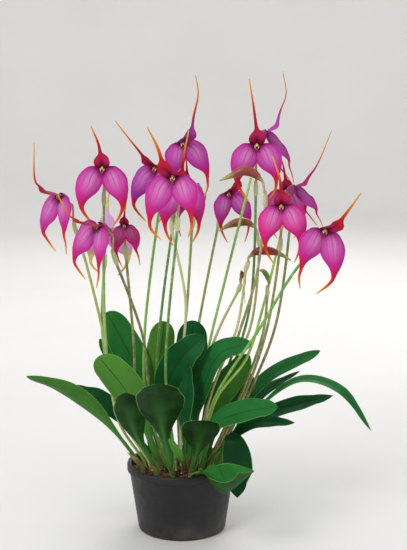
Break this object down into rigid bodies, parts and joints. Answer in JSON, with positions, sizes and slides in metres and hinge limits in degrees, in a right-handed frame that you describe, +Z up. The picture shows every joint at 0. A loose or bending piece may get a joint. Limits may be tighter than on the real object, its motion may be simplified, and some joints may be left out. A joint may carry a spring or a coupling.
{
  "type": "potted orchid",
  "caption": "Flowering Masdevallia-type orchid in a black plastic pot: stalked strap leaves and wiry stems, each with one three-tailed magenta bloom.",
  "frame": {"origin": "centre of the pot's underside, on the surface that it stands on", "axes": "+Z up, -Y toward the side that most blooms face, +X to the right of a viewer on that side"},
  "size_m": [0.3863, 0.291, 0.5221],
  "materials": {
    "pot": "matt black moulded plastic",
    "mix": "loose bark chips, dull",
    "scape": "smooth living stem, satin",
    "bloom": "smooth sepal with a fine sheen",
    "leaf": "thick leathery leaf, satin"
  },
  "bodies": {
    "root": {"pot": "pot", "potting_mix": "mix", "bloom_01": "bloom", "scape_01": "scape", "bloom_02": "bloom", "scape_02": "scape", "bloom_03": "bloom", "scape_03": "scape", "bloom_04": "bloom", "scape_04": "scape", "bloom_05": "bloom", "scape_05": "scape", "bloom_06": "bloom", "scape_06": "scape", "bloom_07": "bloom", "scape_07": "scape", "bloom_08": "bloom", "scape_08": "scape", "bloom_09": "bloom", "scape_09": "scape", "bloom_10": "bloom", "scape_10": "scape", "bloom_11": "bloom", "scape_11": "scape", "bloom_12": "bloom", "scape_12": "scape", "bloom_13": "bloom", "scape_13": "scape", "bloom_14": "bloom", "scape_14": "scape", "bloom_15": "bloom", "scape_15": "scape", "bloom_16": "bloom", "scape_16": "scape", "bloom_17": "bloom", "scape_17": "scape", "bud_scape_01": "scape", "bud_scape_02": "scape", "bud_scape_03": "scape", "bud_scape_04": "scape", "bud_scape_05": "scape", "leaf_01": "leaf", "leaf_02": "leaf", "leaf_03": "leaf", "leaf_04": "leaf", "leaf_05": "leaf", "leaf_06": "leaf", "leaf_07": "leaf", "leaf_08": "leaf", "leaf_09": "leaf", "leaf_10": "leaf", "leaf_11": "leaf", "leaf_12": "leaf", "leaf_13": "leaf", "leaf_14": "leaf", "leaf_15": "leaf", "leaf_16": "leaf", "leaf_17": "leaf", "leaf_18": "leaf", "leaf_19": "leaf"}
  },
  "joints": []
}
